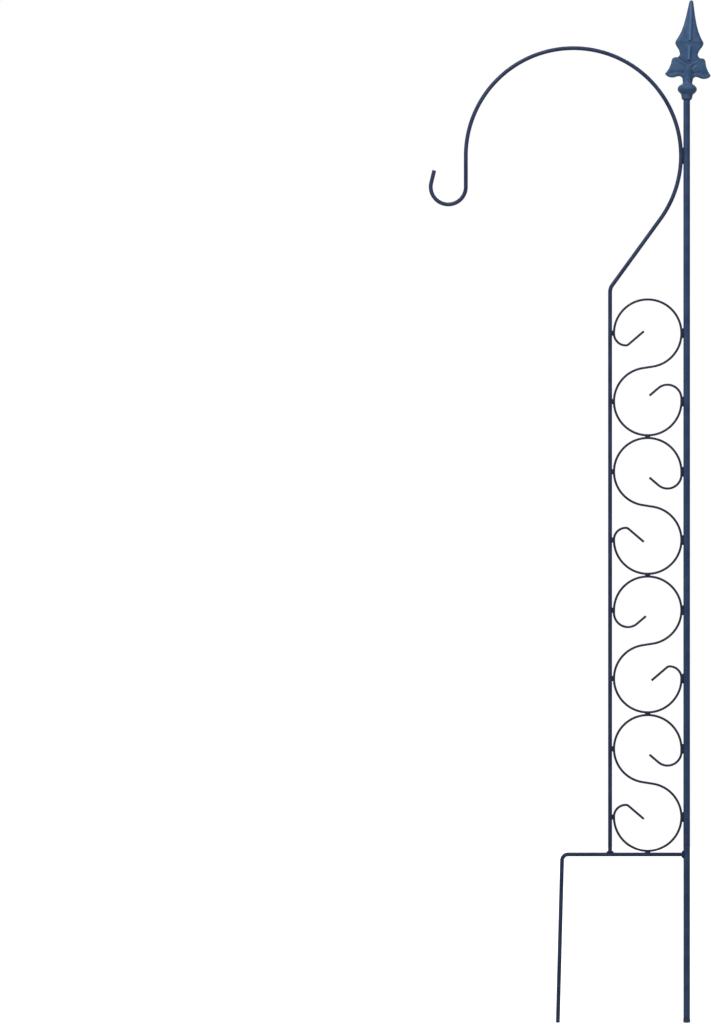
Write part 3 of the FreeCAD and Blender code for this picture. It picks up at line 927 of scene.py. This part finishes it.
def arc_points(start: Pair, end: Pair, bulge: float, steps: int = 12) -> list[Pair]:
    """Points on a flat arc, without its end.

    Args:
        start: First point.
        end: Last point.
        bulge: How far the arc stands off its chord, positive to the left.
        steps: Number of points.

    Returns:
        The points.
    """
    first, last = np.array(start), np.array(end)
    chord = last - first
    left = np.array([-chord[1], chord[0]]) / np.hypot(*chord)
    shares = np.linspace(0, 1, steps, endpoint=False)
    return [tuple(first + chord * s + left * (4 * bulge * s * (1 - s))) for s in shares]


def line_distance(points: Sequence[Pair], x: np.ndarray, z: np.ndarray) -> np.ndarray:
    """Distance from places in a plane to a line through points.

    Args:
        points: Points of the line.
        x: First coordinate of the places.
        z: Second coordinate of the places.

    Returns:
        The distances.
    """
    nearest = np.full(np.broadcast(x, z).shape, np.inf)
    for (ax, az), (bx, bz) in zip(points, points[1:]):
        run_x, run_z = bx - ax, bz - az
        share = np.clip(((x - ax) * run_x + (z - az) * run_z) / (run_x ** 2 + run_z ** 2), 0, 1)
        nearest = np.minimum(nearest, np.hypot(x - ax - share * run_x, z - az - share * run_z))
    return nearest


def outline_distance(points: Sequence[Pair], x: np.ndarray, z: np.ndarray) -> np.ndarray:
    """Distance from places in a plane to a closed outline, negative inside.

    Args:
        points: Points of the outline.
        x: First coordinate of the places.
        z: Second coordinate of the places.

    Returns:
        The signed distances.
    """
    ring = [*points, points[0]]
    inside = np.zeros(np.broadcast(x, z).shape, bool)
    for (ax, az), (bx, bz) in zip(ring, ring[1:]):
        if az != bz:
            inside ^= ((az > z) != (bz > z)) & (x < ax + (z - az) * (bx - ax) / (bz - az))
    return line_distance(ring, x, z) * np.where(inside, -1, 1)


def join(first: np.ndarray, second: np.ndarray, fillet: float) -> np.ndarray:
    """Join two bodies given by distance, with a fillet of about this radius where they meet."""
    share = np.clip(0.5 + 0.5 * (second - first) / fillet, 0, 1)
    return second + (first - second) * share - fillet * share * (1 - share)


def trim(first: np.ndarray, second: np.ndarray, rounding: float) -> np.ndarray:
    """Keep what two bodies given by distance have in common, with rounded edges."""
    return -join(-first, -second, rounding)


def skin(body: np.ndarray, origin: np.ndarray, step: float) -> tuple[np.ndarray, np.ndarray]:
    """Lay quads on the surface of a body given by distance on a grid.

    Args:
        body: Distance to the surface at the grid's points, negative inside.
        origin: Place of the grid's first point.
        step: Distance between the grid's points.

    Returns:
        Corner places, one to a cell that the surface passes, and the quads between them.
    """
    edges, corner_keys = [], []
    for axis in range(3):
        unit = np.eye(3, dtype=int)[axis]
        ahead = np.roll(body, -1, axis)
        crossed = (body < 0) != (ahead < 0)
        cells = np.argwhere(crossed)
        here, there = body[crossed], ahead[crossed]
        passing = cells + (here / (here - there))[:, None] * unit
        second, third = np.roll(unit, 1), np.roll(unit, 2)
        around = [cells - second - third, cells - third, cells, cells - second]
        keys = np.stack([np.ravel_multi_index(tuple(cell.T), body.shape) for cell in around], 1)
        keys[here > 0] = keys[here > 0, ::-1]
        edges.append(np.repeat(passing, 4, axis=0))
        corner_keys.append(keys.ravel())
    _, numbers = np.unique(np.concatenate(corner_keys), return_inverse=True)
    numbers = numbers.ravel()
    crossings = np.concatenate(edges)
    shares = np.bincount(numbers)
    corners = np.column_stack([np.bincount(numbers, crossings[:, axis]) / shares for axis in range(3)])
    return origin + corners * step, numbers.reshape(-1, 4)


@dataclass(frozen=True)
class SpearFinial:
    """Cast finial: socket, bulb collar, stem, two drooping leaves and a ribbed spear blade.

    It is modelled like clay, from bodies given by the distance to their surface. A difference in height or
    radius is more than the distance on a slope, so each is scaled by the cosine of a usual slope there.
    """

    layout: Layout
    grid: float = 0.45
    spare_cells: int = 3
    lean: float = 2.7
    bore_radius: float = 5.1
    stem_top: float = 31.5
    half_width: float = 37.0
    half_depth: float = 16.0
    height: float = 152.0
    turning_slope: float = 0.8
    leaf_crown: float = 6.6
    leaf_tip_crown: float = 2.4
    leaf_crown_radius: float = 52.0
    leaf_head_radius: float = 150.0
    leaf_shoulder_x: float = 17.5
    leaf_head_up: float = 31.8
    leaf_top: float = 20.8
    leaf_inner_x: float = -12.0
    leaf_edge_rounding: float = 1.5
    leaf_slope: float = 0.95
    midrib_up: float = 17.0
    crease_width: float = 1.4
    crease_depth: float = 0.95
    fold_width: float = 2.0
    fold_depth: float = 0.8
    blade_edge: float = 2.4
    blade_edge_share: float = 0.7
    blade_rounding: float = 1.6
    edge_bevel: float = 4.0
    outline_slope: float = 0.85
    face_slope: float = 0.9
    rib_half_width: float = 3.7
    rib_crest: float = 1.0
    rib_rise: float = 2.1
    groove_up: float = 0.7
    groove_past: float = 3.0
    groove_dip: float = 0.8
    groove_width: float = 0.9
    overlap_groove: float = 1.0
    filled_groove: float = 0.4
    groove_change: float = 3.0
    leaf_fillet: float = 0.4
    stem_fillet: float = 1.6

    def turning(self, across: np.ndarray, z: np.ndarray) -> np.ndarray:
        """Socket, bulb collar, stem and the bud between the leaves.

        Args:
            across: Distance of the places from the axis.
            z: Height of the places.

        Returns:
            Distance to the surface.
        """
        stations = [
            (-2.0, -9.0), (-0.2, 5.0), (0.3, 6.4), (1.4, 7.3), (3.0, 7.9), (7.7, 8.65), (9.0, 9.4),
            (10.8, 11.4), (12.8, 13.4), (14.8, 14.25), (16.6, 14.45), (18.6, 14.1), (20.6, 12.9),
            (22.4, 10.8), (24.0, 8.4), (25.4, 7.2), (46.0, 7.2), (50.0, 5.9), (53.0, 3.4), (54.6, 0.0),
            (57.0, -9.0)]
        return (across - rounded_curve(stations, z, rounding=0.9)) * self.turning_slope

    def leaf(self, x: np.ndarray, y: np.ndarray, z: np.ndarray) -> np.ndarray:
        """Both drooping leaves: an outline, crowned along its midrib and creased as a casting is.

        Args:
            x: Distance of the places from the middle, sideways.
            y: Depth of the places.
            z: Height of the places.

        Returns:
            Distance to the surface.
        """
        foot, inner = self.stem_top, self.leaf_inner_x
        shoulder, flank = (self.leaf_shoulder_x, foot + self.leaf_head_up), (25.6, foot + 24.4)
        tip, blunt = (34.2, foot + 6.8), (30.0, foot + 2.6)
        lobe, root = (16.5, foot + 3.1), (7.0, foot - 2.6)
        head_slope = (self.leaf_head_up - self.leaf_top) / shoulder[0]
        outline = [(inner, foot + self.leaf_top + head_slope * inner), shoulder]
        outline += arc_points(shoulder, flank, bulge=3.0)[1:] + arc_points(flank, tip, bulge=-1.3)
        outline += arc_points(tip, blunt, bulge=0.5, steps=5)
        outline += arc_points(blunt, lobe, bulge=1.6) + arc_points(lobe, root, bulge=-3.4)
        outline += [root, (inner, root[1])]
        plan = outline_distance(outline, x, z)
        run = np.array([tip[0], tip[1] - foot - self.midrib_up])
        length = np.hypot(*run)
        along = (x * run[0] + (z - foot - self.midrib_up) * run[1]) / length
        aside = (z - foot - self.midrib_up) * run[0] / length - x * run[1] / length
        crown = self.leaf_crown + (self.leaf_tip_crown - self.leaf_crown) * np.clip(along / length, 0, 1)
        crown = crown - aside ** 2 / (2 * np.where(aside > 0, self.leaf_head_radius, self.leaf_crown_radius))
        # Creases where a leaf leaves the stem, and the fold along its lower edge.
        hollow = [(9.3, foot + 7.0), (5.6, foot + 10.6), (4.7, foot + 13.6), (6.2, foot + 18.0),
                  (10.5, foot + 21.5)]
        fold = [(9.0, foot + 8.6), (17.0, foot + 9.8), (27.0, foot + 7.2)]
        for points, depth, width in (
                (hollow, self.crease_depth, self.crease_width), (fold, self.fold_depth, self.fold_width)):
            crown = crown - depth * np.exp(-(line_distance(points, x, z) / width) ** 2)
        return trim(plan, (np.abs(y) - crown) * self.leaf_slope, self.leaf_edge_rounding)

    def rib(self, x: np.ndarray, up: np.ndarray) -> np.ndarray:
        """Share of the rib's height: it runs from the tip to the shoulder, and again down the neck.

        Args:
            x: Distance of the places from the middle, sideways.
            up: Height of the places above the stem.

        Returns:
            1 on the rib's crest, 0 beside the rib.
        """
        section = [(-0.5, 1.0), (self.rib_crest, 1.0), (self.rib_half_width, 0.0), (60.0, 0.0)]
        runs = [(25.6, 0.0), (26.8, 0.0), (28.6, 1.0), (47.8, 1.0), (50.0, 0.0), (56.0, 0.0), (58.0, 1.0),
                (105.0, 1.0), (116.5, 0.2), (118.0, 0.0)]
        return rounded_curve(section, x, rounding=0.6) * rounded_curve(runs, up, rounding=0.7)

    def blade(self, x: np.ndarray, y: np.ndarray, z: np.ndarray, groove: np.ndarray) -> np.ndarray:
        """Spear head: flat faces with bevelled edges, a step at the shoulder and a narrow rib on each side.

        Args:
            x: Distance of the places from the middle, sideways.
            y: Depth of the places.
            z: Height of the places.
            groove: Depth of the groove where the leaves lie over the blade.

        Returns:
            Distance to the surface.
        """
        up = z - self.stem_top
        widths = [
            (16.0, -9.0), (20.0, 17.2), (31.8, 17.2), (33.2, 15.2), (35.2, 13.8), (37.5, 13.35),
            (41.2, 14.5), (44.6, 16.2), (47.8, 18.6), (50.9, 20.4), (53.2, 21.1), (54.8, 21.0),
            (57.0, 20.2), (60.0, 18.2), (66.0, 15.1), (72.0, 12.5), (80.9, 9.7), (92.9, 7.0),
            (104.8, 4.9), (113.8, 3.4), (116.8, 2.6), (118.4, 0.8), (120.0, -9.0)]
        plates = [
            (20.0, 3.2), (37.0, 3.3), (53.6, 3.7), (55.2, 4.5), (69.0, 3.9), (90.0, 3.0), (105.0, 2.3),
            (116.4, 1.6), (118.2, 0.6), (120.0, -2.0)]
        half_width = rounded_curve(widths, up, rounding=1.0)
        plate = rounded_curve(plates, up, rounding=0.7)
        edge = np.minimum(self.blade_edge, self.blade_edge_share * plate)
        face = edge + (plate - edge) * np.clip((half_width - x) / self.edge_bevel, 0, 1)
        face = face + self.rib_rise * self.rib(x, up)
        # The groove follows the leaves' upper edges, drawn past the middle so that its sides meet in a V.
        lap = [(-self.groove_past, self.leaf_top - self.groove_dip),
               (0.0, self.leaf_top + self.groove_up),
               (self.leaf_shoulder_x, self.leaf_head_up + self.groove_up)]
        face = face - groove * np.exp(-(line_distance(lap, x, up) / self.groove_width) ** 2)
        outside = (x - half_width) * self.outline_slope
        return trim(outside, (np.abs(y) - face) * self.face_slope, self.blade_rounding)

    def leaned(self, x: np.ndarray, z: np.ndarray) -> tuple[np.ndarray, np.ndarray]:
        """Lean places of the casting as it leans on the post."""
        tilt = math.radians(self.lean)
        return x * math.cos(tilt) + z * math.sin(tilt), z * math.cos(tilt) - x * math.sin(tilt)

    def build(self) -> list[Made]:
        """Model the casting, bore its socket, lean it on the post and coat it.

        Returns:
            The finial.
        """
        step = self.grid
        low = np.array([-self.half_width, -self.half_depth, -self.spare_cells * step])
        high = np.array([self.half_width, self.half_depth, self.height])
        counts = np.ceil((high - low) / step).astype(int)
        lines = [start + step * np.arange(count) for start, count in zip(low, counts)]
        x, y, z = np.meshgrid(*lines, indexing="ij", sparse=True)
        side = np.abs(x)
        # The coat has filled the groove on the right more than on the left.
        groove = np.interp(
            x, [-self.groove_change, self.groove_change], [self.overlap_groove, self.filled_groove])
        body = join(self.leaf(side, y, z), self.blade(side, y, z, groove), self.leaf_fillet)
        body = join(body, self.turning(np.hypot(x, y), z), self.stem_fillet)
        # The bore stays on the post's axis, so it is upright once the casting leans.
        aside, up = self.leaned(x, z)
        bore = np.maximum(np.hypot(aside, y) - self.bore_radius, up - self.layout.socket_depth)
        corners, quads = skin(np.maximum(body, -bore), low, step)
        aside, up = self.leaned(corners[:, 0], corners[:, 2])
        placed = np.column_stack([aside, corners[:, 1], up + self.layout.finial_z])
        mesh = bpy.data.meshes.new("cast_spear_finial")
        mesh.from_pydata((placed * MM).tolist(), [], quads.tolist())
        # Painted highlight: the rib's crest is painted paler, by the square of the rib's share.
        painted_highlight = mesh.attributes.new("painted_crest_highlight", "FLOAT", "POINT")
        crest = self.rib(np.abs(corners[:, 0]), corners[:, 2] - self.stem_top) ** 2
        painted_highlight.data.foreach_set("value", crest.astype(np.float32))
        # Where two folds of the skin share an edge, its two ends become one corner.
        shape = bmesh.new()
        shape.from_mesh(mesh)
        bmesh.ops.collapse(shape, edges=[edge for edge in shape.edges if len(edge.link_faces) > 2])
        shape.to_mesh(mesh)
        shape.free()
        mesh.materials.append(Finish.FINIAL.material())
        mesh.shade_smooth()
        return [(new_object("cast_spear_finial", mesh), "spear_finial", Finish.FINIAL)]


class Lamp(Enum):
    """The soft square lamps: place in metres and power in watts."""

    KEY = ((-0.9, -1.75, 2.75), 76.0)
    FILL = ((2.4, -2.2, 0.9), 3.0)
    BACK = ((0.2, 2.7, 2.1), 48.0)


@dataclass(frozen=True)
class Studio:
    """White studio: camera square to the frame, soft key from the left, pale floor under the stakes."""

    mm_per_pixel: float = 1.494
    post_pixel: float = 686.7
    ground_pixel: float = 856.4
    lens: float = 135.0
    sensor: float = 36.0
    ambient: float = 0.12
    lamp_size: float = 1.3
    floor_colour: str = "#d9d9d9"
    floor_glow: float = 0.85
    floor_half: float = 3000.0
    floor_drop: float = 0.5

    def camera(self) -> None:
        """Set the camera straight in front, so far that a pixel covers its share of a millimetre."""
        data = bpy.data.cameras.new("camera")
        data.lens, data.sensor_width = self.lens, self.sensor
        distance = PHOTO_HEIGHT * self.mm_per_pixel * self.lens / self.sensor
        camera = new_object("camera", data)
        sideways = (PHOTO_WIDTH / 2 - self.post_pixel) * self.mm_per_pixel
        height = (self.ground_pixel - PHOTO_HEIGHT / 2) * self.mm_per_pixel
        camera.location = Vector((sideways, -distance, height)) * MM
        camera.rotation_euler = (math.pi / 2, 0.0, 0.0)
        bpy.context.scene.camera = camera

    def lamps(self) -> None:
        """Hang the lamps, each aimed at the middle of the object."""
        middle = (CAD_BOX[0] + CAD_BOX[1]) / 2
        for lamp in Lamp:
            place, power = lamp.value
            data = bpy.data.lights.new(lamp.name.lower(), "AREA")
            data.energy, data.size = power, self.lamp_size
            light = new_object(data.name, data)
            light.location = place
            light.rotation_euler = (middle - Vector(place)).to_track_quat("-Z", "Y").to_euler()

    @staticmethod
    def seen(tree: NodeTree) -> Node:
        """Tell the rays that show a background, straight or in a reflection, from those that only light.

        Args:
            tree: Tree that gets the nodes.

        Returns:
            Node that gives 1 for camera, glossy and transmission rays.
        """
        path = add_node(tree, "ShaderNodeLightPath").outputs
        shown = add_node(tree, "ShaderNodeMath", {0: path["Is Camera Ray"], 1: path["Is Glossy Ray"]},
                         operation="MAXIMUM")
        return add_node(tree, "ShaderNodeMath", {0: shown, 1: path["Is Transmission Ray"]},
                        operation="MAXIMUM")

    def world(self) -> None:
        """White to the camera and in reflections, a calmer grey as light."""
        world = bpy.data.worlds.new("studio")
        world.use_nodes = True
        tree = world.node_tree
        tree.nodes.clear()
        calm = add_node(tree, "ShaderNodeBackground", {"Color": WHITE, "Strength": self.ambient})
        white = add_node(tree, "ShaderNodeBackground", {"Color": WHITE, "Strength": 1.0})
        mix = add_node(tree, "ShaderNodeMixShader", {0: self.seen(tree), 1: calm, 2: white})
        add_node(tree, "ShaderNodeOutputWorld", {"Surface": mix})
        bpy.context.scene.world = world

    def floor(self) -> None:
        """Lay a pale floor that glows a little, so that it is white and keeps the stakes' soft shadow."""
        paper = bpy.data.materials.new("paper_floor")
        paper.use_nodes = True
        tree = paper.node_tree
        tree.nodes.clear()
        lit = add_node(tree, "ShaderNodeBsdfDiffuse", {"Color": linear(self.floor_colour)})
        strength = add_node(tree, "ShaderNodeMath", {0: self.seen(tree), 1: self.floor_glow},
                            operation="MULTIPLY")
        glow = add_node(tree, "ShaderNodeEmission", {"Color": WHITE, "Strength": strength})
        both = add_node(tree, "ShaderNodeAddShader", {0: lit, 1: glow})
        add_node(tree, "ShaderNodeOutputMaterial", {"Surface": both})
        half, level = self.floor_half * MM, CAD_BOX[0].z - self.floor_drop * MM
        corners = [(-half, -half, level), (half, -half, level), (half, half, level), (-half, half, level)]
        mesh = bpy.data.meshes.new("floor")
        mesh.from_pydata(corners, [], [(0, 1, 2, 3)])
        mesh.materials.append(paper)
        new_object("floor", mesh)

    def build(self) -> None:
        """Set up camera, world, lamps and floor."""
        self.camera()
        self.world()
        self.lamps()
        self.floor()
        bpy.context.scene.view_settings.view_transform = "Standard"


def hand_over(piece: Object, node: str, finish: Finish) -> tuple[np.ndarray, np.ndarray]:
    """Put a finished piece on its body and hide the CAD node that it stands for.

    Args:
        piece: The finished object.
        node: Name of the CAD node that it stands for.
        finish: The piece's finish, not used.

    Returns:
        How far its lowest and its highest corner lie off the node's, in millimetres.
    """
    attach(piece, BODY)
    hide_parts(node)
    finish.slot
    corners = np.array([corner[:] for corner in piece.bound_box])
    low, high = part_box(node)
    return (corners.min(0) - np.array(low)) / MM, (corners.max(0) - np.array(high)) / MM


def main() -> None:
    """Build every piece over the frame and report it, then the studio."""
    logging.basicConfig(level=logging.INFO, format="%(message)s")
    layout = Layout()
    stock = NodeTrees.bent_stock()
    assemblies = (Post(layout), SpearFinial(layout), HookRod(layout, stock), GroundLeg(layout, stock),
                  ScrollStack(layout, stock), Welds(layout, NodeTrees.weld_beads()))
    for assembly in assemblies:
        for piece, node, finish in assembly.build():
            off_low, off_high = hand_over(piece, node, finish)
            log.info("%s for %s: %d faces, off the node's corners by %s and %s mm",
                     piece.name, node, len(piece.data.polygons), off_low.round(2), off_high.round(2))
    Studio().build()


if __name__ == "__main__":
    main()
